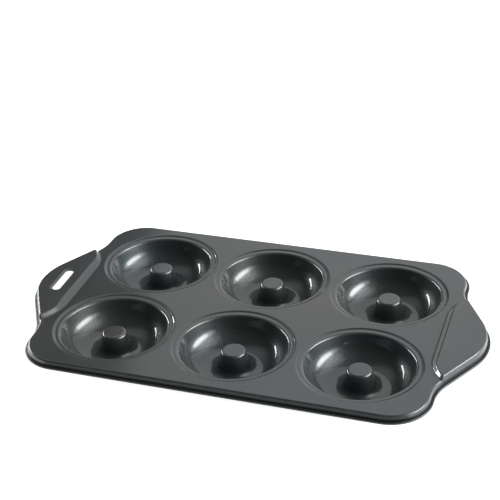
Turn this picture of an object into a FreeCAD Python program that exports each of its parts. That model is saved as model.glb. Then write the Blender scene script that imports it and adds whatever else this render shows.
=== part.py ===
import FreeCAD, Part
import os
import math
import Sketcher
from FreeCAD import Vector

# A six-cup doughnut pan, pressed from one coated steel sheet.
# X runs from handle to handle and Y from the front edge to the back edge.
# The origin is on the surface that the cups stand on, below the middle of the pan.

DOC = FreeCAD.newDocument("doughnut_pan")

# Driving sizes in millimetres and degrees
SIZES = [
    ("sheet", 0.8, "thickness of the steel sheet"),
    ("flat_rise", 0.2, "most that a flat lies inside the bend that it stands for"),
    ("columns", 3, "cups along the pan"),
    ("rows", 2, "cups across the pan"),
    ("gap_along", 6.4, "deck between the sunk rings of two cups along the pan"),
    ("gap_across", 8.9, "deck between the sunk rings of two cups across the pan"),
    ("cup_radius", 42.3, "radius of a cup just below its mouth bend"),
    ("cup_depth", 23.0, "from the deck to the inside of a cup's floor"),
    ("ledge_width", 4.6, "from a cup's radius out to the edge of the sunk ring round its mouth"),
    ("ledge_drop", 1.0, "from the deck down to that ring"),
    ("mouth_bend", 2.4, "bend at a cup's mouth"),
    ("wall_run", 0.8, "how far a cup's outer wall leans out above its lower bend"),
    ("floor_radius", 20.5, "outer radius of the flat floor"),
    ("floor_width", 2.0, "width of the flat floor"),
    ("stud_foot", 6.5, "bend from the floor to the stud"),
    ("stud_flat", 7.7, "radius of the stud's flat top"),
    ("stud_bend", 2.4, "bend round the stud's top"),
    ("stud_drop", 5.0, "from the deck down to the stud's top"),
    ("side_margin", 11.6, "from the last sunk ring to the side wall beside a handle"),
    ("front_margin", 10.95, "from the last sunk ring to the front wall"),
    ("handle_reach", 28.6, "from the side wall to the wall at a handle's end"),
    ("handle_slant", 29.05, "lean of a handle's side from straight across the pan"),
    ("nose_bend", 51.6, "radius of a handle's end in plan"),
    ("shoulder_bend", 43.0, "radius of the hollow beside a handle in plan"),
    ("shoulder_gap", 3.2, "straight side wall between the corner and the hollow"),
    ("handle_rise", 3.0, "from the deck up to a handle"),
    ("riser_margin", 6.7, "from the side wall's line in to the riser's foot"),
    ("riser_end", 46.0, "from the hollow's centre to the end of the riser's straight stretch"),
    ("riser_turn", 38.7, "radius in which the riser turns to the edge"),
    ("riser_lean", 49.0, "riser's lean from upright"),
    ("riser_bend", 2.4, "bend at the riser's foot and top"),
    ("edge_bend", 1.8, "bend along the edge of deck and handles"),
    ("flange_drop", 3.3, "from the deck down to the flange"),
    ("flange_bend", 0.9, "bend from the wall to the flange"),
    ("rim_wall", 0.3, "straight wall above that bend"),
    ("curl_place", 1.7, "from the wall out to the curl's centre"),
    ("curl_radius", 1.3, "outer radius of the curled rim"),
    ("curl_turn", 225.0, "angle that the rim is curled through"),
    ("curl_tail", 0.4, "straight end of the curled rim"),
    ("slot_margin", 18.3, "from the wall at the handle's end in to the hanging slot"),
    ("slot_length", 32.0, "whole length of the hanging slot"),
    ("slot_width", 7.0, "width of the hanging slot"),
]

# Sizes that follow from them
LINKED = [
    ("ledge_radius", "cup_radius + ledge_width", "radius of the sunk ring round a mouth"),
    ("pitch_along", "2 * ledge_radius + gap_along", "between cups along the pan"),
    ("pitch_across", "2 * ledge_radius + gap_across", "between cups across the pan"),
    ("trough_bend", "cup_radius - floor_radius - wall_run",
     "bend from a cup's floor to its outer wall"),
    ("half_length", "pitch_along * (columns - 1) / 2 + ledge_radius + side_margin",
     "from the middle to the side wall beside a handle"),
    ("half_width", "pitch_across * (rows - 1) / 2 + ledge_radius + front_margin",
     "from the middle to the front wall"),
    ("reach", "half_length + handle_reach", "from the middle to the wall at a handle's end"),
    ("shoulder_place", "((shoulder_bend + nose_bend) * (1 - cos(handle_slant))"
     " + handle_reach * cos(handle_slant)) / sin(handle_slant)",
     "from the middle line to the hollow's centre"),
    ("corner_bend", "half_width - shoulder_place - shoulder_gap",
     "corner radius of the wall in plan"),
    ("riser_place", "half_length - riser_margin", "from the middle to the riser's foot"),
    ("riser_half", "shoulder_place - riser_end", "half of the riser's straight stretch"),
    ("slot_place", "reach - slot_margin", "from the middle to the hanging slot"),
]

DECK = "(dims.cup_depth + dims.sheet)"
WALL_BOTTOM = DECK + " - dims.flange_drop + dims.flange_bend + dims.rim_wall"


def make_table():
    table = DOC.addObject("Spreadsheet::Sheet", "dims")
    for row, (alias, value, note) in enumerate(SIZES + LINKED, start=1):
        table.set("A%d" % row, note)
        table.set("B%d" % row, "=%s" % value)
        table.setAlias("B%d" % row, alias)
    DOC.recompute()
    return table


TABLE = make_table()


def now(formula):
    """The value that a formula of the table's sizes has now."""
    value = TABLE.evalExpression(formula)
    return float(getattr(value, "Value", value))


def point(x, y):
    """A sharp corner of an outline."""
    return (x, y, "0", 0)


def left_bend(x, y, radius):
    """A round that turns the outline to the left."""
    return (x, y, radius, 1)


def right_bend(x, y, radius):
    """A round that turns the outline to the right."""
    return (x, y, radius, -1)


def tangent_ends(first, second):
    """Ends of the straight stretch that touches two rounds, and its direction."""
    x1, y1, r1 = now(first[0]), now(first[1]), first[3] * now(first[2])
    x2, y2, r2 = now(second[0]), now(second[1]), second[3] * now(second[2])
    along = math.atan2(y2 - y1, x2 - x1)
    heading = along + math.asin((r1 - r2) / math.hypot(x2 - x1, y2 - y1))
    side = Vector(-math.sin(heading), math.cos(heading), 0)
    return Vector(x1, y1, 0) - side * r1, Vector(x2, y2, 0) - side * r2, heading


def bind(sketch, index, formula):
    sketch.setExpression("Constraints[%d]" % index, formula)


def fix_point(sketch, geometry, end, x, y):
    """Tie one point of the sketch to its two coordinates."""
    for kind, formula in (("DistanceX", x), ("DistanceY", y)):
        index = sketch.addConstraint(Sketcher.Constraint(kind, -1, 1, geometry, end, now(formula)))
        bind(sketch, index, formula)


def add_round(sketch, bend, heading_in, heading_out):
    """An arc between two straight stretches; gives its index and its first and last ends."""
    x, y, radius, turn = bend
    start, stop = heading_in - turn * math.pi / 2, heading_out - turn * math.pi / 2
    if turn < 0:
        start, stop = stop, start
    while stop <= start:
        stop += 2 * math.pi
    circle = Part.Circle(Vector(now(x), now(y), 0), Vector(0, 0, 1), now(radius))
    arc = sketch.addGeometry(Part.ArcOfCircle(circle, start, stop), False)
    fix_point(sketch, arc, 3, x, y)
    index = sketch.addConstraint(Sketcher.Constraint("Radius", arc, now(radius)))
    bind(sketch, index, radius)
    return (arc, 1, 2) if turn > 0 else (arc, 2, 1)


def add_flats(sketch, arc, first, last):
    """Equal flats with their corners on an arc, which becomes a guide line."""
    sketch.toggleConstruction(arc)
    guide = sketch.Geometry[arc]
    sweep = guide.LastParameter - guide.FirstParameter
    widest = 2 * math.acos(1 - min(now("dims.flat_rise") / guide.Radius, 0.5))
    count = math.ceil(sweep / widest)
    stops = [guide.value(guide.FirstParameter + sweep * i / count) for i in range(count + 1)]
    if first == 2:
        stops.reverse()
    flats = [sketch.addGeometry(Part.LineSegment(start, end), False)
             for start, end in zip(stops, stops[1:])]
    sketch.addConstraint(Sketcher.Constraint("Coincident", flats[0], 1, arc, first))
    sketch.addConstraint(Sketcher.Constraint("Coincident", flats[-1], 2, arc, last))
    for flat, other in zip(flats, flats[1:]):
        sketch.addConstraint(Sketcher.Constraint("Coincident", flat, 2, other, 1))
        sketch.addConstraint(Sketcher.Constraint("PointOnObject", flat, 2, arc))
        sketch.addConstraint(Sketcher.Constraint("Equal", flat, other))


def draw_closed(sketch, bends, in_flats=False):
    """A closed outline of rounds and corners joined by straight stretches."""
    count = len(bends)
    spans = [tangent_ends(bends[i], bends[(i + 1) % count]) for i in range(count)]
    lines = [sketch.addGeometry(Part.LineSegment(start, end), False) for start, end, _ in spans]
    for i, bend in enumerate(bends):
        before, after = lines[i - 1], lines[i]
        if bend[3] == 0:
            sketch.addConstraint(Sketcher.Constraint("Coincident", before, 2, after, 1))
            fix_point(sketch, after, 1, bend[0], bend[1])
            continue
        arc, first, last = add_round(sketch, bend, spans[i - 1][2], spans[i][2])
        sketch.addConstraint(Sketcher.Constraint("Tangent", before, 2, arc, first))
        sketch.addConstraint(Sketcher.Constraint("Tangent", arc, last, after, 1))
        if in_flats:
            add_flats(sketch, arc, first, last)


def new_sketch(body, name, role, x="0", y="0", z="0"):
    """A sketch on one of the body's own planes, moved in that plane's own axes."""
    sketch = body.newObject("Sketcher::SketchObject", name)
    plane = [item for item in body.Origin.OriginFeatures if item.Role == role][0]
    sketch.AttachmentSupport = [(plane, "")]
    sketch.MapMode = "FlatFace"
    for axis, formula in (("x", x), ("y", y), ("z", z)):
        sketch.setExpression("AttachmentOffset.Base." + axis, formula)
    return sketch


def new_feature(body, kind, name, profile, **formulas):
    feature = body.newObject("PartDesign::" + kind, name)
    feature.Profile = profile
    for field, formula in formulas.items():
        feature.setExpression(field, formula)
    return feature


def mirrored(bends, flip_x, flip_y):
    """The same rounds seen in a mirror; the order is kept."""
    turned = []
    for x, y, radius, turn in bends:
        new_x = "-(%s)" % x if flip_x else x
        new_y = "-(%s)" % y if flip_y else y
        turned.append((new_x, new_y, radius, turn))
    return turned


def all_round(quarter, middle=()):
    """Repeat the rounds of one quarter in all four, after the one that lies on the X axis."""
    upper = quarter + mirrored(quarter, True, False)[::-1]
    lower = mirrored(quarter, True, True) + mirrored(quarter, False, True)[::-1]
    return [*middle, *upper, *mirrored(middle, True, False), *lower]


def near(first, second):
    return abs(first - second) < 0.01


def edge_names(shape, chosen):
    """The names that the shape gives to some of its edges."""
    return ["Edge%d" % (i + 1) for i, edge in enumerate(shape.Edges)
            if any(edge.isSame(other) for other in chosen)]


# The wall's outline in plan: handle end, hollow shoulder, corner
def draw_outline(sketch):
    shoulder = right_bend("dims.half_length + dims.shoulder_bend", "dims.shoulder_place",
                          "dims.shoulder_bend")
    corner = left_bend("dims.half_length - dims.corner_bend", "dims.half_width - dims.corner_bend",
                       "dims.corner_bend")
    nose = left_bend("dims.reach - dims.nose_bend", "0", "dims.nose_bend")
    draw_closed(sketch, all_round([shoulder, corner], [nose]))


# The sunk deck's edge: straight in front of a handle, then round its two shoulders
def draw_recess(sketch):
    turn = right_bend("dims.riser_place + dims.riser_turn", "dims.riser_half", "dims.riser_turn")
    beyond = point("dims.reach + dims.corner_bend", "dims.riser_half + dims.riser_turn")
    outside = point("dims.reach + dims.corner_bend", "dims.half_width + dims.corner_bend")
    draw_closed(sketch, all_round([turn, beyond, outside]))


def bend_edges(body, base, name, edges, radius):
    """Round some edges of the last feature."""
    bends = body.newObject("PartDesign::Fillet", name)
    bends.Base = (base, edge_names(base.Shape, edges))
    bends.setExpression("Radius", radius)
    DOC.recompute()
    return bends


def riser_edges(shape):
    """Foot and top edges of the sloping faces between deck and handles."""
    found = []
    for face in shape.Faces:
        box = face.BoundBox
        if near(box.ZMin, now(DECK)) and near(box.ZLength, now("dims.handle_rise")):
            found += [edge for edge in face.Edges if edge.BoundBox.ZLength < 0.01]
    return found


def wall_top_edges(shape):
    """Edges along the top of the wall, over deck, risers and handles."""
    found = []
    for face in shape.Faces:
        box = face.BoundBox
        if near(box.ZMin, now(WALL_BOTTOM)) and box.ZLength > 0.01:
            found += [edge for edge in face.Edges if edge.BoundBox.ZMin > now(DECK) - 0.01]
    return found


def make_shell(body, outline):
    """Deck, raised handles and wall, as one sheet that is open below."""
    blank = new_feature(body, "Pad", "blank", outline,
                        Length=DECK + " + dims.handle_rise - (%s)" % WALL_BOTTOM)
    recess = new_sketch(body, "deck_outline", "XY_Plane", z=DECK)
    draw_recess(recess)
    deck = new_feature(body, "Pocket", "deck_recess", recess, Length="dims.handle_rise",
                       TaperAngle="dims.riser_lean")
    deck.Reversed = True
    DOC.recompute()
    risers = bend_edges(body, deck, "riser_bends", riser_edges(deck.Shape), "dims.riser_bend")
    edges = bend_edges(body, risers, "edge_bends", wall_top_edges(risers.Shape), "dims.edge_bend")
    below = [i for i, face in enumerate(edges.Shape.Faces) if near(face.BoundBox.ZMax, now(WALL_BOTTOM))]
    shell = body.newObject("PartDesign::Thickness", "sheet")
    shell.Base = (edges, ["Face%d" % (below[0] + 1)])
    shell.setExpression("Value", "dims.sheet")
    shell.Reversed = True
    DOC.recompute()


def cup_rounds(skin, top):
    """Section of a cup from its axis to the deck; skin is the depth below the upper surface."""
    slope = "(dims.ledge_radius + %s * tan(22.5))" % skin
    ledge = "(dims.ledge_drop + %s)" % skin
    return [
        point("0", "-(dims.stud_drop + %s)" % skin),
        right_bend("dims.stud_flat", "-(dims.stud_drop + dims.stud_bend)",
                   "dims.stud_bend - %s" % skin),
        left_bend("dims.floor_radius - dims.floor_width", "dims.stud_foot - dims.cup_depth",
                  "dims.stud_foot + %s" % skin),
        left_bend("dims.floor_radius", "dims.trough_bend - dims.cup_depth",
                  "dims.trough_bend + %s" % skin),
        right_bend("dims.cup_radius + dims.mouth_bend", "-(dims.ledge_drop + dims.mouth_bend)",
                   "dims.mouth_bend - %s" % skin),
        point(slope, "-" + ledge),
        point("%s + %s + %s" % (slope, ledge, top), top),
        point("0", top),
    ]


def cup_sketch(body, name, skin, top):
    """A sketch of the section, standing at the first cup's axis with the deck at height nought."""
    sketch = new_sketch(body, name, "XZ_Plane", x="-dims.pitch_along * (dims.columns - 1) / 2",
                        y=DECK, z="dims.pitch_across * (dims.rows - 1) / 2")
    draw_closed(sketch, cup_rounds(skin, top), in_flats=True)
    return sketch


def make_cups(body):
    """Ring-shaped cups with a stud in the middle: an added form, then its hollow."""
    form = new_feature(body, "Revolution", "cup_form",
                       cup_sketch(body, "cup_outside", "dims.sheet", "(-dims.sheet / 2)"))
    form.ReferenceAxis = (form.Profile[0], ["V_Axis"])
    hollow = new_feature(body, "Groove", "cup_hollow",
                         cup_sketch(body, "cup_inside", "0", "dims.sheet"))
    hollow.ReferenceAxis = (hollow.Profile[0], ["V_Axis"])
    DOC.recompute()
    cups = body.newObject("PartDesign::MultiTransform", "cups")
    cups.Originals = [form, hollow]
    along = new_pattern(body, "cups_along", "X_Axis", "dims.pitch_along", "dims.columns")
    across = new_pattern(body, "cups_across", "Y_Axis", "dims.pitch_across", "dims.rows")
    cups.Transformations = [along, across]
    body.Tip = cups
    DOC.recompute()


def new_pattern(body, name, role, pitch, count):
    pattern = body.newObject("PartDesign::LinearPattern", name)
    axis = [item for item in body.Origin.OriginFeatures if item.Role == role][0]
    pattern.Direction = (axis, [""])
    pattern.Mode = "Spacing"
    pattern.setExpression("Offset", pitch)
    pattern.setExpression("Occurrences", count)
    return pattern


def curl_rounds():
    """Section of the rim from the wall's outer face out to the curl's end and back inside."""
    middle = "dims.curl_place"
    tail_x = "dims.curl_tail * cos(dims.curl_turn)"
    tail_y = "dims.curl_tail * sin(dims.curl_turn)"
    end_x = middle + " + (%s) * sin(dims.curl_turn) + " + tail_x
    end_y = "-dims.curl_radius + (%s) * cos(dims.curl_turn) - " + tail_y
    inner = "dims.curl_radius - dims.sheet"
    return [
        point("0", "dims.flange_bend + dims.rim_wall"),
        left_bend("dims.flange_bend", "dims.flange_bend", "dims.flange_bend"),
        right_bend(middle, "-dims.curl_radius", "dims.curl_radius"),
        point(end_x % "dims.curl_radius", end_y % "dims.curl_radius"),
        point(end_x % inner, end_y % inner),
        left_bend(middle, "-dims.curl_radius", inner),
        right_bend("dims.flange_bend", "dims.flange_bend", "dims.flange_bend + dims.sheet"),
        point("-dims.sheet", "dims.flange_bend + dims.rim_wall"),
    ]


def make_rim(body, outline):
    """Flange and curled rim, swept round below the wall."""
    section = new_sketch(body, "rim_section", "YZ_Plane", x="dims.half_width",
                         y=DECK + " - dims.flange_drop")
    draw_closed(section, curl_rounds(), in_flats=True)
    rim = new_feature(body, "AdditivePipe", "rim", section)
    rim.Spine = (outline, [])
    rim.SpineTangent = False
    rim.Mode = "Standard"
    DOC.recompute()


def make_slot(body):
    """Plain hanging slot through the left handle."""
    sketch = new_sketch(body, "slot_outline", "XY_Plane", z=DECK + " + dims.handle_rise")
    end = "(dims.slot_length - dims.slot_width) / 2"
    round_end = left_bend("-dims.slot_place", end, "dims.slot_width / 2")
    draw_closed(sketch, [round_end] + mirrored([round_end], False, True))
    new_feature(body, "Pocket", "hanging_slot", sketch, Length="2 * dims.sheet")
    DOC.recompute()


def make_pan():
    body = DOC.addObject("PartDesign::Body", "doughnut_pan")
    body.Label = "doughnut_pan"
    body.Placement = FreeCAD.Placement()
    outline = new_sketch(body, "wall_outline", "XY_Plane", z=WALL_BOTTOM)
    draw_outline(outline)
    make_shell(body, outline)
    make_cups(body)
    make_rim(body, outline)
    make_slot(body)
    return body


def check_document(pieces):
    for item in DOC.Objects:
        if "Invalid" in item.State or "Error" in item.State:
            raise ValueError("%s has not been built: %s" % (item.Name, item.State))
    for piece in pieces:
        if piece.Shape.isNull() or not piece.Shape.isValid() or len(piece.Shape.Solids) != 1:
            raise ValueError("%s is not one valid solid" % piece.Label)


pieces = [make_pan()]
check_document(pieces)
os.makedirs("parts", exist_ok=True)
for piece in pieces:
    piece.Shape.exportStep("parts/%s.step" % piece.Label)
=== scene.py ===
from math import acos, asin, atan2, ceil, cos, hypot, inf, pi, radians, sin, sqrt, tan

import bmesh
import bpy
from mathutils import Matrix, Vector


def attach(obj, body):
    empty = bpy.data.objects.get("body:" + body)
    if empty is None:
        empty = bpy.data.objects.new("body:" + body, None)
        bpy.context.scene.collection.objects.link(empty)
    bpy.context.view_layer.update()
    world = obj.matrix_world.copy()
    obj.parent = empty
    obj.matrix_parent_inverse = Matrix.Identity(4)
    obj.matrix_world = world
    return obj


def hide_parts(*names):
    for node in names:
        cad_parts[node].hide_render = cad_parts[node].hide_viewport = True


# A six-cup doughnut pan of coated sheet steel, on a pale floor under soft light.
# Shapes are worked out in millimetres and made in metres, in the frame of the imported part.

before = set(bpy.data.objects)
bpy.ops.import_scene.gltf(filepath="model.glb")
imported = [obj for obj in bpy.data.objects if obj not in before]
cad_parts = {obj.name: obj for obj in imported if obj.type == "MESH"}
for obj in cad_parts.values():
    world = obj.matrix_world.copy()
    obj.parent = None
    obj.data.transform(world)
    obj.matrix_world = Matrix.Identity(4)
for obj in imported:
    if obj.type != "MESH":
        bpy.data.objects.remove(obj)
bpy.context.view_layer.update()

# Sizes of the pan
SHEET = 0.8
DECK_TOP = 23.8
BACK_EDGE = 109.2

# The cups: their places, the points in each ring, two rings on the stud's flat top and its
# height against the deck, and the last ring, on the deck
CUP_PLACES = [(x, y) for y in (-51.35, 51.35) for x in (-100.2, 0.0, 100.2)]
CUP_SIDES = 96
STUD_CORE = 3.5
STUD_FLAT = 6.6
STUD_TOP = -5.0
CUP_OUTSIDE = 49.4

# The riser between the deck and a handle: its foot, the straight part's half length, the turn
# at its ends, its slope, and how much steeper it gets there
HANDLE_RISE = 3.0
RISER_PLACE = 151.6
RISER_HALF = 30.0
RISER_TURN = 39.1
RISER_LEAN = radians(35.0)
RISER_BEND = 3.2
RISER_STEEPER = 0.7
RISER_STEEPER_FROM = radians(25.0)

# The edge: the band of deck beside it, its bend, the wall's foot as distance out and height,
# and the straight end of the curl
BORDER = 3.2
EDGE_BEND = 1.8
WALL_FOOT = (0.75, 20.3)
CURL_TAIL = 0.4

# The hanging slot, and its pressed border as distance out and height
SLOT_PLACE = -169.0
SLOT_HALF = 12.5
SLOT_RADIUS = 3.5
SLOT_SECTION = [(0.0, -0.5), (0.35, -0.46), (0.8, -0.34), (1.3, -0.17), (1.8, -0.05), (2.3, 0.0),
                (3.2, 0.0)]

# Rounds as centre, radius and side: 1 where the skin bulges over the round, -1 where it dips under
OUTLINE_ROUNDS = [(128.7, 79.2, 30.0, 1), (201.7, 76.0, 43.0, -1), (135.7, 0.0, 51.6, 1)]
CUP_ROUNDS = [
    (7.7, -7.4, 2.4, 1),
    (18.5, -16.5, 6.5, -1),
    (20.5, -2.0, 21.0, -1),
    (44.7, -3.4, 2.4, 1),
    (46.3, 1.2, 2.2, -1),
    (49.1, -2.2, 2.2, 1),
]
RIM_ROUNDS = [(1.31, 20.5, 0.6, -1), (1.8, 18.6, 1.03, 1)]
RIM_START = radians(-70.0)
CURL_END = radians(-225.0)

# Where the coating differs, as distances out or radii, and heights: worn bends on the studs, the
# cups' mouths and the curl, the rippled wall, painted shade in the crease above the curl and the
# curl's dull outside
WORN_STUD = (7.7, 10.4)
WORN_STUD_ABOVE = -7.6
WORN_MOUTH = (42.6, 44.8)
WORN_CURL = 2.4
WORN_CURL_ABOVE = 18.2
RIPPLE_MIDDLE = 34.0
RIPPLE_HALF = 10.0
PAINTED_SHADE_END = 2.55
PAINTED_SHADE_FADE = 0.6
PAINTED_SHADE_ABOVE = 19.0
DULL_CURL = 2.0


# Rounds joined by the lines that touch them

def line_piece(start, end, turn, count):
    """A straight run, given as a function of how far along it a place is."""
    ax, ay = start
    bx, by = end
    return count, lambda f: (ax + (bx - ax) * f, ay + (by - ay) * f, turn)


def arc_piece(around, first, last, count):
    """A bend round a centre, from one direction of travel to another."""
    cx, cy, radius, side = around

    def at(f):
        turn = first + (last - first) * f
        return cx - side * radius * sin(turn), cy + side * radius * cos(turn), turn

    return count, at


def joined(rounds, first, last, bend_step, run_step):
    """Bends and the straight runs between them, as pieces."""
    turns = [first]
    for (ax, ay, ar, aside), (bx, by, br, bside) in zip(rounds, rounds[1:]):
        dx, dy = bx - ax, by - ay
        share = (aside * ar - bside * br) / hypot(dx, dy)
        turns.append(atan2(dy, dx) - asin(max(-1, min(1, share))))
    turns.append(last)
    pieces = []
    for around, a, b in zip(rounds, turns, turns[1:]):
        count = max(2, ceil(abs(b - a) / bend_step(around[2])))
        bend = arc_piece(around, a, b, count)
        if pieces:
            start, end = pieces[-1][1](1)[:2], bend[1](0)[:2]
            length = hypot(end[0] - start[0], end[1] - start[1])
            if length > 0.01:
                pieces.append(line_piece(start, end, a, max(1, ceil(length / run_step))))
        pieces.append(bend)
    return pieces


def walk(pieces, extra=()):
    """Stations along the pieces: x, y and direction, with extra places put in."""
    kept = [pieces[i][1](f)[:2] for i, f in extra]
    marks = [(i, f, True) for i, f in extra]
    for i, (count, at) in enumerate(pieces):
        for k in range(count + 1):
            x, y, _ = at(k / count)
            if all(hypot(x - kx, y - ky) > 0.3 for kx, ky in kept):
                marks.append((i, k / count, False))
    stations = []
    for i, f, needed in sorted(marks):
        x, y, turn = pieces[i][1](f)
        if needed or not stations or hypot(x - stations[-1][0], y - stations[-1][1]) > 0.05:
            stations.append((x, y, turn))
    return stations


# Height of the deck and its raised handles

def steeper(turn):
    """How much steeper the riser is where it turns towards the edge."""
    share = max(0.0, min(1.0, turn / RISER_STEEPER_FROM))
    return 1 + RISER_STEEPER * share * share * (3 - 2 * share)


def past_riser(x, y):
    """How far a place lies beyond the foot of the riser, towards the handle's end."""
    x, y = abs(x), abs(y)
    if y <= RISER_HALF:
        return x - RISER_PLACE
    inward = RISER_PLACE + RISER_TURN - x
    across = y - RISER_HALF
    return (RISER_TURN - hypot(inward, across)) * steeper(atan2(across, inward))


RUN = HANDLE_RISE / tan(RISER_LEAN)
REACH = RISER_BEND * tan(RISER_LEAN / 2)


def rise_at(d):
    """Height above the deck of a place that lies d beyond the riser's foot."""
    if d <= -REACH:
        return 0.0
    if d < REACH * cos(RISER_LEAN):
        return RISER_BEND - sqrt(RISER_BEND ** 2 - (d + REACH) ** 2)
    if d < RUN - REACH * cos(RISER_LEAN):
        return d * tan(RISER_LEAN)
    if d < RUN + REACH:
        return HANDLE_RISE - RISER_BEND + sqrt(RISER_BEND ** 2 - (RUN + REACH - d) ** 2)
    return HANDLE_RISE


def deck_at(x, y):
    return DECK_TOP + rise_at(past_riser(x, y))


def riser_levels():
    """Distances beyond the riser's foot where its section gets a line of points."""
    foot_end = REACH * cos(RISER_LEAN)
    foot = [-REACH + (REACH + foot_end) * k / 5 for k in range(6)]
    head = [RUN - d for d in reversed(foot)]
    middle = [(foot[-1] + head[0]) / 2]
    return foot + middle + head


LEVELS = riser_levels()


# Outline of the wall, one quarter at a time

def outline_pieces():
    rounds = joined(OUTLINE_ROUNDS, 0.0, -pi / 2, lambda r: radians(4.0), 5.0)
    back_edge = line_piece((0.0, BACK_EDGE), rounds[0][1](0)[:2], 0.0, 14)
    return [back_edge] + rounds


def inset(station, out):
    """The place a distance outside the wall, level with a station."""
    x, y, turn = station
    return x - out * sin(turn), y + out * cos(turn)


def find_level(pieces, level, out):
    """Where the outline, moved out, crosses a level of the riser."""
    def over(i, f):
        return past_riser(*inset(pieces[i][1](f), out)) - level

    for i, (count, _) in enumerate(pieces):
        for k in range(count):
            low, high = k / count, (k + 1) / count
            if over(i, low) < 0 <= over(i, high):
                for _ in range(40):
                    middle = (low + high) / 2
                    if over(i, middle) < 0:
                        low = middle
                    else:
                        high = middle
                return i, high
    raise ValueError("the riser does not reach the edge")


QUARTER = outline_pieces()
CROSSINGS = [find_level(QUARTER, level, -BORDER) for level in LEVELS]


def whole_outline():
    """Stations all the way round, as four mirrored quarters."""
    quarter = walk(QUARTER, CROSSINGS)
    right = quarter + [(x, -y, -pi - turn) for x, y, turn in quarter[-2::-1]]
    return right + [(-x, y, -turn) for x, y, turn in right[-2:0:-1]]


# Skin of the pan

PLAIN = (0.0, 0.0, 0.0)


class Skin:
    """A sheet's outer face, gathered point by point and face by face.

    Each point also holds what the material reads: how far it lies on an outward bend, where it
    lies round a cup's wall, how far it lies in the crease of the rim, which gets painted shade, and
    whether it is on the curl.
    """

    def __init__(self):
        self.points = []
        self.bends = []
        self.rounds = []
        self.rims = []
        self.faces = []

    def add(self, x, y, z, bend=0.0, around=PLAIN, rim=PLAIN):
        self.points.append((x / 1000, y / 1000, z / 1000))
        self.bends.append(bend)
        self.rounds.append(around)
        self.rims.append(rim)
        return len(self.points) - 1

    def strip(self, rows, closed=False):
        """Faces between rows of points."""
        for one, two in zip(rows, rows[1:]):
            last = len(one) if closed else len(one) - 1
            for k in range(last):
                n = (k + 1) % len(one)
                self.faces.append((one[k], one[n], two[n], two[k]))


def rim_section():
    """The flange and the curl under it, as distance out and height."""
    pieces = joined(RIM_ROUNDS, RIM_START, CURL_END, lambda r: radians(14.0), 1.0)
    run = [(out, z) for out, z, _ in walk(pieces)]
    tail = run[-1][0] + CURL_TAIL * cos(CURL_END), run[-1][1] + CURL_TAIL * sin(CURL_END)
    return run + [tail]


def wall_turn(top):
    """How far the edge bends down before the leaning wall leaves it for its foot."""
    out, down = WALL_FOOT[0] + EDGE_BEND, WALL_FOOT[1] - top + EDGE_BEND
    return atan2(out, down) - acos(EDGE_BEND / hypot(out, down))


def border_column(skin, station):
    """One line of points from the deck over the edge, down the wall and round the curl."""
    column = []
    for out in (-BORDER, -(BORDER + EDGE_BEND) / 2, -EDGE_BEND):
        x, y = inset(station, out)
        column.append(skin.add(x, y, deck_at(x, y)))
    last = wall_turn(deck_at(*inset(station, 0.0)))
    for k in range(1, 8):
        angle = last * k / 7
        x, y = inset(station, -EDGE_BEND * (1 - sin(angle)))
        z = deck_at(x, y) - EDGE_BEND * (1 - cos(angle))
        column.append(skin.add(x, y, z, sin(2 * angle)))
    for out, z in rim_section():
        x, y = inset(station, out)
        bend = 0.6 if out > WORN_CURL and z > WORN_CURL_ABOVE else 0.0
        # Share of painted shade: the crease between the wall's foot and the curl is darkened in the
        # material
        crease_shade = max(0.0, min(1.0, (PAINTED_SHADE_END - out) / PAINTED_SHADE_FADE)) if z > PAINTED_SHADE_ABOVE else 0.0
        curl = 1.0 if out > DULL_CURL else 0.0
        column.append(skin.add(x, y, z, bend, rim=(crease_shade, curl, 0.0)))
    return column


def make_border(skin):
    """The edge of the deck, the wall and the curl, all the way round."""
    stations = whole_outline()
    columns = [border_column(skin, station) for station in stations]
    rows = [list(row) for row in zip(*columns)]
    skin.strip(rows, closed=True)
    return rows[0], stations


def level_line(level, half_angle):
    """Places along one level of the riser on the right, from the front to the back."""
    centre = RISER_PLACE + RISER_TURN
    back = []
    for k in range(1, 21):
        turn = k / 20 * half_angle
        radius = RISER_TURN - level / steeper(turn)
        back.append((centre - radius * cos(turn), RISER_HALF + radius * sin(turn)))
    line = [(x, -y) for x, y in reversed(back)]
    line += [(RISER_PLACE + level, RISER_HALF * (k / 5 - 1)) for k in range(11)]
    line += back
    return line


def make_riser(skin, side):
    """The ramp between the deck and one handle."""
    rows = []
    for level, (i, f) in zip(LEVELS, CROSSINGS):
        x, y = inset(QUARTER[i][1](f), -BORDER)
        half_angle = atan2(y - RISER_HALF, RISER_PLACE + RISER_TURN - x)
        line = level_line(level, half_angle)
        z = DECK_TOP + rise_at(level)
        bend = 0.5 if level > RUN / 2 else 0.0
        rows.append([skin.add(side * px, py, z, bend) for px, py in line])
    skin.strip(rows)
    return rows[0], rows[-1]


def cup_section():
    """The cup from its stud's top out to the deck, as radius and height above the deck."""
    pieces = joined(CUP_ROUNDS, 0.0, 0.0, lambda r: radians(5.5 if r > 10 else 10.0), 4.0)
    run = [(r, z) for r, z, _ in walk(pieces)]
    return [(STUD_CORE, STUD_TOP), (STUD_FLAT, STUD_TOP)] + run + [(CUP_OUTSIDE, 0.0)]


def make_cup(skin, cx, cy):
    """One ring-shaped cup with its hollow stud, spun round its middle."""
    rows = []
    for r, z in cup_section():
        on_stud = WORN_STUD[0] < r < WORN_STUD[1] and z > WORN_STUD_ABOVE
        on_mouth = WORN_MOUTH[0] < r < WORN_MOUTH[1]
        bend = 1.0 if on_stud or on_mouth else 0.0
        on_wall = max(0.0, 1 - abs(r - RIPPLE_MIDDLE) / RIPPLE_HALF)
        row = []
        for k in range(CUP_SIDES):
            a = 2 * pi * k / CUP_SIDES
            around = (cos(a), sin(a), on_wall)
            row.append(skin.add(cx + r * cos(a), cy + r * sin(a), DECK_TOP + z, bend, around))
        rows.append(row)
    skin.strip(rows, closed=True)
    middle = skin.add(cx, cy, DECK_TOP + STUD_TOP)
    for a, b in loop_edges(rows[0]):
        skin.faces.append((middle, a, b))
    return rows[-1]


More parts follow.
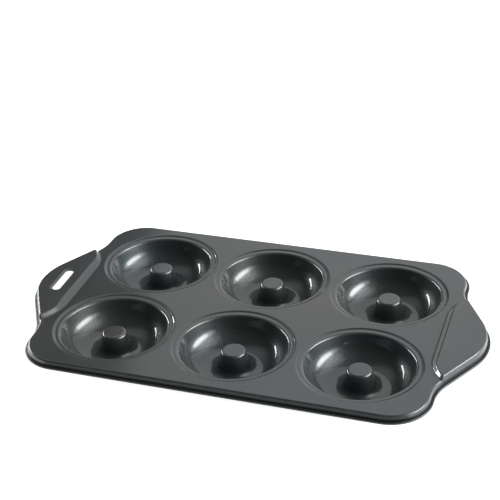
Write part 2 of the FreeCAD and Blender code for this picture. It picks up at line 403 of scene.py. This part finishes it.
def slot_loop(out):
    """Places round the hanging slot, a distance outside its edge."""
    radius = SLOT_RADIUS + out
    loop = []
    for middle, start in ((SLOT_HALF, 0.0), (-SLOT_HALF, pi)):
        for k in range(15):
            angle = start + pi * k / 14
            loop.append((SLOT_PLACE + radius * cos(angle), middle + radius * sin(angle)))
    return loop


def make_slot(skin):
    """The hanging slot, with its border pressed down a little."""
    rows = []
    for out, z in SLOT_SECTION:
        bend = 0.4 if z else 0.0
        rows.append([skin.add(x, y, DECK_TOP + HANDLE_RISE + z, bend) for x, y in slot_loop(out)])
    skin.strip(rows, closed=True)
    return rows[-1]


def loop_edges(loop):
    """Pairs of neighbours round a closed loop."""
    return list(zip(loop, loop[1:] + loop[:1]))


def line_edges(line):
    """Pairs of neighbours along an open line."""
    return list(zip(line, line[1:]))


def flat_edges(border, stations, low, high):
    """Edges of the border's inner side that lie between two levels, each with its station."""
    slack = 0.001
    levels = [past_riser(*inset(station, -BORDER)) for station in stations]
    chosen = []
    for (a, b), ends, station in zip(loop_edges(border), loop_edges(levels), stations):
        if low - slack <= min(ends) and max(ends) <= high + slack:
            chosen.append((a, b, station))
    return chosen


def build_pan():
    """The pan's skin as one mesh, with its flat parts filled in."""
    skin = Skin()
    border, stations = make_border(skin)
    right_foot, right_head = make_riser(skin, 1)
    left_foot, left_head = make_riser(skin, -1)
    cups = [make_cup(skin, cx, cy) for cx, cy in CUP_PLACES]
    slot = make_slot(skin)

    deck = [(a, b) for a, b, _ in flat_edges(border, stations, -inf, LEVELS[0])]
    deck += line_edges(right_foot) + line_edges(left_foot)
    for cup in cups:
        deck += loop_edges(cup)
    ends = flat_edges(border, stations, LEVELS[-1], inf)
    right_end = [(a, b) for a, b, station in ends if station[0] > 0] + line_edges(right_head)
    left_end = [(a, b) for a, b, station in ends if station[0] < 0] + line_edges(left_head)
    left_end += loop_edges(slot)

    mesh = bpy.data.meshes.new("doughnut_pan_skin")
    bm = bmesh.new()
    bend_layer = bm.verts.layers.float.new("bend")
    around_layer = bm.verts.layers.float_vector.new("around")
    rim_layer = bm.verts.layers.float_vector.new("rim")
    verts = [bm.verts.new(p) for p in skin.points]
    for vert, bend, around, rim in zip(verts, skin.bends, skin.rounds, skin.rims):
        vert[bend_layer] = bend
        vert[around_layer] = around
        vert[rim_layer] = rim
    for face in skin.faces:
        bm.faces.new([verts[k] for k in face])
    for edges in (deck, right_end, left_end):
        fill_flat(bm, [(verts[a], verts[b]) for a, b in edges])
    bmesh.ops.remove_doubles(bm, verts=bm.verts[:], dist=0.00001)
    bmesh.ops.recalc_face_normals(bm, faces=bm.faces[:])
    if max(bm.faces, key=lambda face: face.calc_area()).normal.z < 0:
        bmesh.ops.reverse_faces(bm, faces=bm.faces[:])
    for face in bm.faces:
        face.smooth = True
    bm.to_mesh(mesh)
    bm.free()
    return mesh


def fill_flat(bm, pairs):
    """Fills the flat space between closed runs of edges, leaving out what lies inside a hole."""
    verts, order = [], {}

    def number(vert):
        key = (round(vert.co.x, 6), round(vert.co.y, 6))
        if key not in order:
            order[key] = len(verts)
            verts.append(vert)
        return order[key]

    edges = [(number(a), number(b)) for a, b in pairs]
    flat = bmesh.new()
    copies = [flat.verts.new(v.co) for v in verts]
    single = set(tuple(sorted(edge)) for edge in edges if edge[0] != edge[1])
    made = [flat.edges.new((copies[a], copies[b])) for a, b in single]
    flat.verts.index_update()
    bmesh.ops.triangle_fill(flat, use_beauty=True, use_dissolve=False, edges=made, normal=(0, 0, 1))
    for face in flat.faces:
        bm.faces.new([verts[v.index] for v in face.verts])
    flat.free()


def make_pan(material):
    """The pan as one piece: its skin given the sheet's thickness."""
    source = bpy.data.objects.new("pan_skin", build_pan())
    bpy.context.scene.collection.objects.link(source)
    thick = source.modifiers.new("sheet", "SOLIDIFY")
    thick.thickness = SHEET / 1000
    thick.offset = -1.0
    bpy.context.view_layer.update()
    graph = bpy.context.evaluated_depsgraph_get()
    mesh = bpy.data.meshes.new_from_object(source.evaluated_get(graph))
    mesh.name = "coated_pan"
    bpy.data.objects.remove(source)
    mesh.set_sharp_from_angle(angle=radians(50))
    pan = bpy.data.objects.new("coated_pan", mesh)
    bpy.context.scene.collection.objects.link(pan)
    even = pan.modifiers.new("normals", "WEIGHTED_NORMAL")
    even.keep_sharp = True
    even.weight = 60
    mesh.materials.clear()
    mesh.materials.append(material)
    return pan


# Materials

def new_material(name):
    """An empty node material, with its nodes and links."""
    material = bpy.data.materials.new(name)
    material.use_nodes = True
    material.node_tree.nodes.clear()
    return material, material.node_tree.nodes, material.node_tree.links


def add_noise(nodes, links, where, scale, detail, roughness=0.5):
    noise = nodes.new("ShaderNodeTexNoise")
    noise.inputs["Scale"].default_value = scale
    noise.inputs["Detail"].default_value = detail
    noise.inputs["Roughness"].default_value = roughness
    links.new(where, noise.inputs["Vector"])
    return noise.outputs["Fac"]


def add_range(nodes, links, value, low, high, out_low, out_high):
    """A value carried over from one range to another, held at its ends."""
    span = nodes.new("ShaderNodeMapRange")
    span.inputs["From Min"].default_value = low
    span.inputs["From Max"].default_value = high
    span.inputs["To Min"].default_value = out_low
    span.inputs["To Max"].default_value = out_high
    links.new(value, span.inputs["Value"])
    return span.outputs["Result"]


def add_number(nodes, links, kind, first, second):
    """A sum, product or larger value; each side is a socket or a plain number."""
    both = nodes.new("ShaderNodeMath")
    both.operation = kind
    for socket, value in zip(both.inputs, (first, second)):
        if isinstance(value, float):
            socket.default_value = value
        else:
            links.new(value, socket)
    return both.outputs[0]


def add_vector(nodes, links, kind, where, second=None):
    """A vector sum, product, dot product or length of a socket and a plain vector."""
    node = nodes.new("ShaderNodeVectorMath")
    node.operation = kind
    links.new(where, node.inputs[0])
    if second is not None:
        node.inputs[1].default_value = second
    return node.outputs["Value" if kind in ("DOT_PRODUCT", "LENGTH") else "Vector"]


def add_mix(nodes, links, share, ground, colour):
    """A colour laid over another by a share."""
    mix = nodes.new("ShaderNodeMix")
    mix.data_type = "RGBA"
    mix.inputs["B"].default_value = colour
    links.new(share, mix.inputs["Factor"])
    links.new(ground, mix.inputs["A"])
    return mix.outputs["Result"]


def add_bump(nodes, links, height, distance, below=None):
    bump = nodes.new("ShaderNodeBump")
    bump.inputs["Strength"].default_value = 1.0
    bump.inputs["Distance"].default_value = distance
    links.new(height, bump.inputs["Height"])
    if below:
        links.new(below, bump.inputs["Normal"])
    return bump.outputs["Normal"]


def read_skin(nodes, links, name):
    """A vector that the skin holds, whole and as its three parts."""
    held = nodes.new("ShaderNodeAttribute")
    held.attribute_name = name
    parts = nodes.new("ShaderNodeSeparateXYZ")
    links.new(held.outputs["Vector"], parts.inputs[0])
    return held.outputs["Vector"], parts.outputs


def add_ripple(nodes, links, where):
    """Faint ripples that run down the walls of the cups, left by the press."""
    around, parts = read_skin(nodes, links, "around")
    spot = nodes.new("ShaderNodeVectorMath")
    spot.operation = "MULTIPLY_ADD"
    spot.inputs[1].default_value = (2.0, 2.0, 2.0)
    links.new(where, spot.inputs[0])
    links.new(around, spot.inputs[2])
    ripple = add_noise(nodes, links, spot.outputs[0], 9.0, 1.0)
    return add_number(nodes, links, "MULTIPLY", ripple, parts["Z"])


# Small pale marks on the deck: a painted reflection of a shallow press dent by the left front
# notch, then two scratches by the right front corner; place, half sizes and strength
MARKS = [
    ((-159.0, -62.0, 24.0), (1.4, 6.0, 4.0), 0.7),
    ((119.0, -98.5, 23.8), (1.6, 0.7, 2.0), 0.6),
    ((123.0, -101.0, 23.8), (0.8, 1.5, 2.0), 0.4),
]


def add_marks(nodes, links, where, ground):
    """How pale the coating is: the ground's share, or a mark's where that is larger; the marks are
    scratches and one painted reflection of a press dent.
    """
    for place, size, strength in MARKS:
        spot = add_vector(nodes, links, "SUBTRACT", where, [v / 1000 for v in place])
        share = add_vector(nodes, links, "MULTIPLY", spot, [1000 / v for v in size])
        length = add_vector(nodes, links, "LENGTH", share)
        mark = add_range(nodes, links, length, 0.4, 1.0, strength, 0.0)
        ground = add_number(nodes, links, "MAXIMUM", ground, mark)
    return ground


def coated_steel():
    """Dark slate coating with soft gloss and faint unevenness, paler on worn bends, scratches and a
    painted reflection of a press dent, duller on the curl and darkened with painted shade in the
    crease above it."""
    material, nodes, links = new_material("coated_steel_slate")
    where = nodes.new("ShaderNodeTexCoord").outputs["Object"]
    out = nodes.new("ShaderNodeOutputMaterial")
    shader = nodes.new("ShaderNodeBsdfPrincipled")
    links.new(shader.outputs["BSDF"], out.inputs["Surface"])
    shader.inputs["Metallic"].default_value = 0.8
    shader.inputs["Specular IOR Level"].default_value = 0.5

    tone = nodes.new("ShaderNodeValToRGB")
    tone.color_ramp.elements[0].position = 0.3
    tone.color_ramp.elements[0].color = (0.073, 0.075, 0.073, 1)
    tone.color_ramp.elements[1].position = 0.7
    tone.color_ramp.elements[1].color = (0.060, 0.075, 0.079, 1)
    links.new(add_noise(nodes, links, where, 7.0, 2.0), tone.inputs["Fac"])

    bend = nodes.new("ShaderNodeAttribute")
    bend.attribute_name = "bend"
    patch = add_noise(nodes, links, where, 160.0, 4.0, 0.6)
    patch = add_range(nodes, links, patch, 0.35, 0.7, 0.1, 0.35)
    worn = add_number(nodes, links, "MULTIPLY", bend.outputs["Fac"], patch)
    # Wear, scratches and one painted reflection of a press dent make the coating paler
    wear_and_painted_glint = add_marks(nodes, links, where, worn)
    pale = add_mix(nodes, links, wear_and_painted_glint, tone.outputs["Color"], (0.16, 0.165, 0.165, 1))

    # Painted shade in the crease above the curl: its colour goes nearly black and most of its coat
    # falls away
    _, rim = read_skin(nodes, links, "rim")
    crease_shade = add_range(nodes, links, rim["X"], 0.5, 0.9, 0.0, 1.0)
    crease_shaded = add_mix(nodes, links, crease_shade, pale, (0.012, 0.013, 0.013, 1))
    links.new(crease_shaded, shader.inputs["Base Color"])

    gloss = add_noise(nodes, links, where, 30.0, 3.0)
    links.new(add_range(nodes, links, gloss, 0.3, 0.7, 0.38, 0.46), shader.inputs["Roughness"])
    coat_in_shade = add_range(nodes, links, crease_shade, 0.0, 1.0, 1.0, 0.15)
    on_curl = add_range(nodes, links, rim["Y"], 0.0, 1.0, 1.0, 0.3)
    coat = add_number(nodes, links, "MULTIPLY", coat_in_shade, on_curl)
    links.new(coat, shader.inputs["Coat Weight"])
    blur = add_range(nodes, links, rim["Y"], 0.0, 1.0, 0.05, 0.3)
    links.new(blur, shader.inputs["Coat Roughness"])

    wave = add_bump(nodes, links, add_noise(nodes, links, where, 18.0, 1.0), 0.0003)
    ripple = add_bump(nodes, links, add_ripple(nodes, links, where), 0.0003, wave)
    peel = add_bump(nodes, links, add_noise(nodes, links, where, 700.0, 2.0), 0.000004, ripple)
    links.new(peel, shader.inputs["Normal"])
    return material


def backdrop_white(name, glow):
    """A pale surface that looks white to the camera and keeps a shadow."""
    material, nodes, links = new_material(name)
    out = nodes.new("ShaderNodeOutputMaterial")
    matte = nodes.new("ShaderNodeBsdfDiffuse")
    matte.inputs["Color"].default_value = (0.8, 0.8, 0.8, 1)
    path = nodes.new("ShaderNodeLightPath").outputs
    seen = add_number(nodes, links, "MAXIMUM", path["Is Camera Ray"], path["Is Glossy Ray"])
    seen = add_number(nodes, links, "MAXIMUM", seen, path["Is Transmission Ray"])
    shine = nodes.new("ShaderNodeEmission")
    links.new(add_number(nodes, links, "MULTIPLY", seen, glow), shine.inputs["Strength"])
    both = nodes.new("ShaderNodeAddShader")
    links.new(matte.outputs[0], both.inputs[0])
    links.new(shine.outputs[0], both.inputs[1])
    links.new(both.outputs[0], out.inputs["Surface"])
    return material


# Floor, lights and camera, in metres

FLOOR_HALF = 30.0
FLOOR_GLOW = 0.93

# Soft panels: name, direction from the pan, distance, width, height and power
LAMPS = [
    ("lamp_key", (0.925, 0.147, 0.348), 3.0, 2.3, 0.7, 27),
    ("lamp_edge", (-0.909, 0.313, 0.276), 3.0, 1.9, 0.4, 38),
]

# Soft surroundings: azimuth from the back towards the right, elevation, half width and height,
# share that is full, and strength
GLOWS = [
    (10.0, 36.0, 31.0, 38.0, 0.93, 0.8),
    (84.0, 19.0, 46.0, 17.0, 0.2, 8.0),
    (82.0, 44.0, 40.0, 30.0, 0.2, 2.0),
    (-45.0, 58.0, 40.0, 25.0, 0.3, 0.4),
    (-40.0, 5.0, 20.0, 8.0, 0.5, 0.6),
]
GLOW_DEPTH = 0.8
AMBIENT = 0.16

# The camera: where it looks and how far away it is, in cups' radii, and its focal length in
# pixels of a square picture
CUP_RADIUS = 0.043
CAMERA_AIM = (-0.748, 2.117, 0)
CAMERA_DISTANCE = 25.06
AZIMUTH = radians(19.11)
ELEVATION = radians(29.86)
ROLL = radians(-2.47)
FOCAL = 1231.2
PICTURE = 500
SENSOR = 36


def make_floor():
    h = FLOOR_HALF
    mesh = bpy.data.meshes.new("floor")
    mesh.from_pydata([(-h, -h, 0), (h, -h, 0), (h, h, 0), (-h, h, 0)], [], [(0, 1, 2, 3)])
    mesh.materials.append(backdrop_white("floor_pale", FLOOR_GLOW))
    floor = bpy.data.objects.new("floor", mesh)
    bpy.context.scene.collection.objects.link(floor)


def add_lamp(name, direction, distance, width, height, power):
    """A soft panel that faces the middle of the pan."""
    data = bpy.data.lights.new(name, "AREA")
    data.shape = "RECTANGLE"
    data.size = width
    data.size_y = height
    data.energy = power
    lamp = bpy.data.objects.new(name, data)
    towards = Vector(direction).normalized()
    lamp.location = towards * distance
    lamp.rotation_euler = towards.to_track_quat("Z", "Y").to_euler()
    bpy.context.scene.collection.objects.link(lamp)


def add_glow(nodes, links, where, azimuth, elevation, half_wide, half_high, full, strength):
    """An oval brightening of the surroundings with a soft edge, full inside a share of its size."""
    az, el = radians(azimuth), radians(elevation)
    towards = Vector((sin(az) * cos(el), cos(az) * cos(el), sin(el)))
    across = Vector((cos(az), -sin(az), 0))
    upward = across.cross(towards)
    spot = nodes.new("ShaderNodeCombineXYZ")
    for k, axis in enumerate((across / sin(radians(half_wide)), upward / sin(radians(half_high)))):
        links.new(add_vector(nodes, links, "DOT_PRODUCT", where, axis), spot.inputs[k])
    ahead = add_vector(nodes, links, "DOT_PRODUCT", where, towards / -GLOW_DEPTH)
    links.new(add_number(nodes, links, "ADD", ahead, 1 / GLOW_DEPTH), spot.inputs[2])
    span = nodes.new("ShaderNodeMapRange")
    span.interpolation_type = "SMOOTHSTEP"
    span.inputs["From Min"].default_value = 1.0
    span.inputs["From Max"].default_value = full
    span.inputs["To Max"].default_value = strength
    links.new(add_vector(nodes, links, "LENGTH", spot.outputs[0]), span.inputs["Value"])
    return span.outputs["Result"]


def make_lights():
    """The lamps, and a dim world with soft bright places for the coating to mirror."""
    for lamp in LAMPS:
        add_lamp(*lamp)
    world = bpy.data.worlds.new("studio")
    world.use_nodes = True
    nodes, links = world.node_tree.nodes, world.node_tree.links
    nodes.clear()
    out = nodes.new("ShaderNodeOutputWorld")
    shine = nodes.new("ShaderNodeBackground")
    where = nodes.new("ShaderNodeTexCoord").outputs["Generated"]
    height = add_vector(nodes, links, "DOT_PRODUCT", where, (0, 0, 1))
    level = add_range(nodes, links, height, -0.3, 1.0, 0.0, AMBIENT)
    for glow in GLOWS:
        level = add_number(nodes, links, "ADD", level, add_glow(nodes, links, where, *glow))
    links.new(level, shine.inputs["Strength"])
    shine.inputs["Color"].default_value = (1, 1, 1, 1)
    links.new(shine.outputs[0], out.inputs["Surface"])
    bpy.context.scene.world = world


def make_camera():
    """The photograph's camera: turned round the pan, tipped down and rolled a little."""
    back = Vector((sin(AZIMUTH) * cos(ELEVATION), -cos(AZIMUTH) * cos(ELEVATION), sin(ELEVATION)))
    right = Vector((cos(AZIMUTH), sin(AZIMUTH), 0))
    up = back.cross(right)
    tilted_right = right * cos(ROLL) + up * sin(ROLL)
    tilted_up = up * cos(ROLL) - right * sin(ROLL)
    place = (Vector(CAMERA_AIM) + back * CAMERA_DISTANCE) * CUP_RADIUS
    place += Vector((0, 0, DECK_TOP / 1000))
    data = bpy.data.cameras.new("camera")
    data.sensor_width = SENSOR
    data.lens = FOCAL / PICTURE * SENSOR
    data.clip_end = 50
    camera = bpy.data.objects.new("camera", data)
    turn = Matrix((tilted_right, tilted_up, back)).transposed().to_4x4()
    camera.matrix_world = Matrix.Translation(place) @ turn
    bpy.context.scene.collection.objects.link(camera)
    bpy.context.scene.camera = camera


make_camera()
pan = make_pan(coated_steel())
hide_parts("doughnut_pan")
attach(pan, "root")
make_floor()
make_lights()
bpy.context.scene.view_settings.view_transform = "Standard"
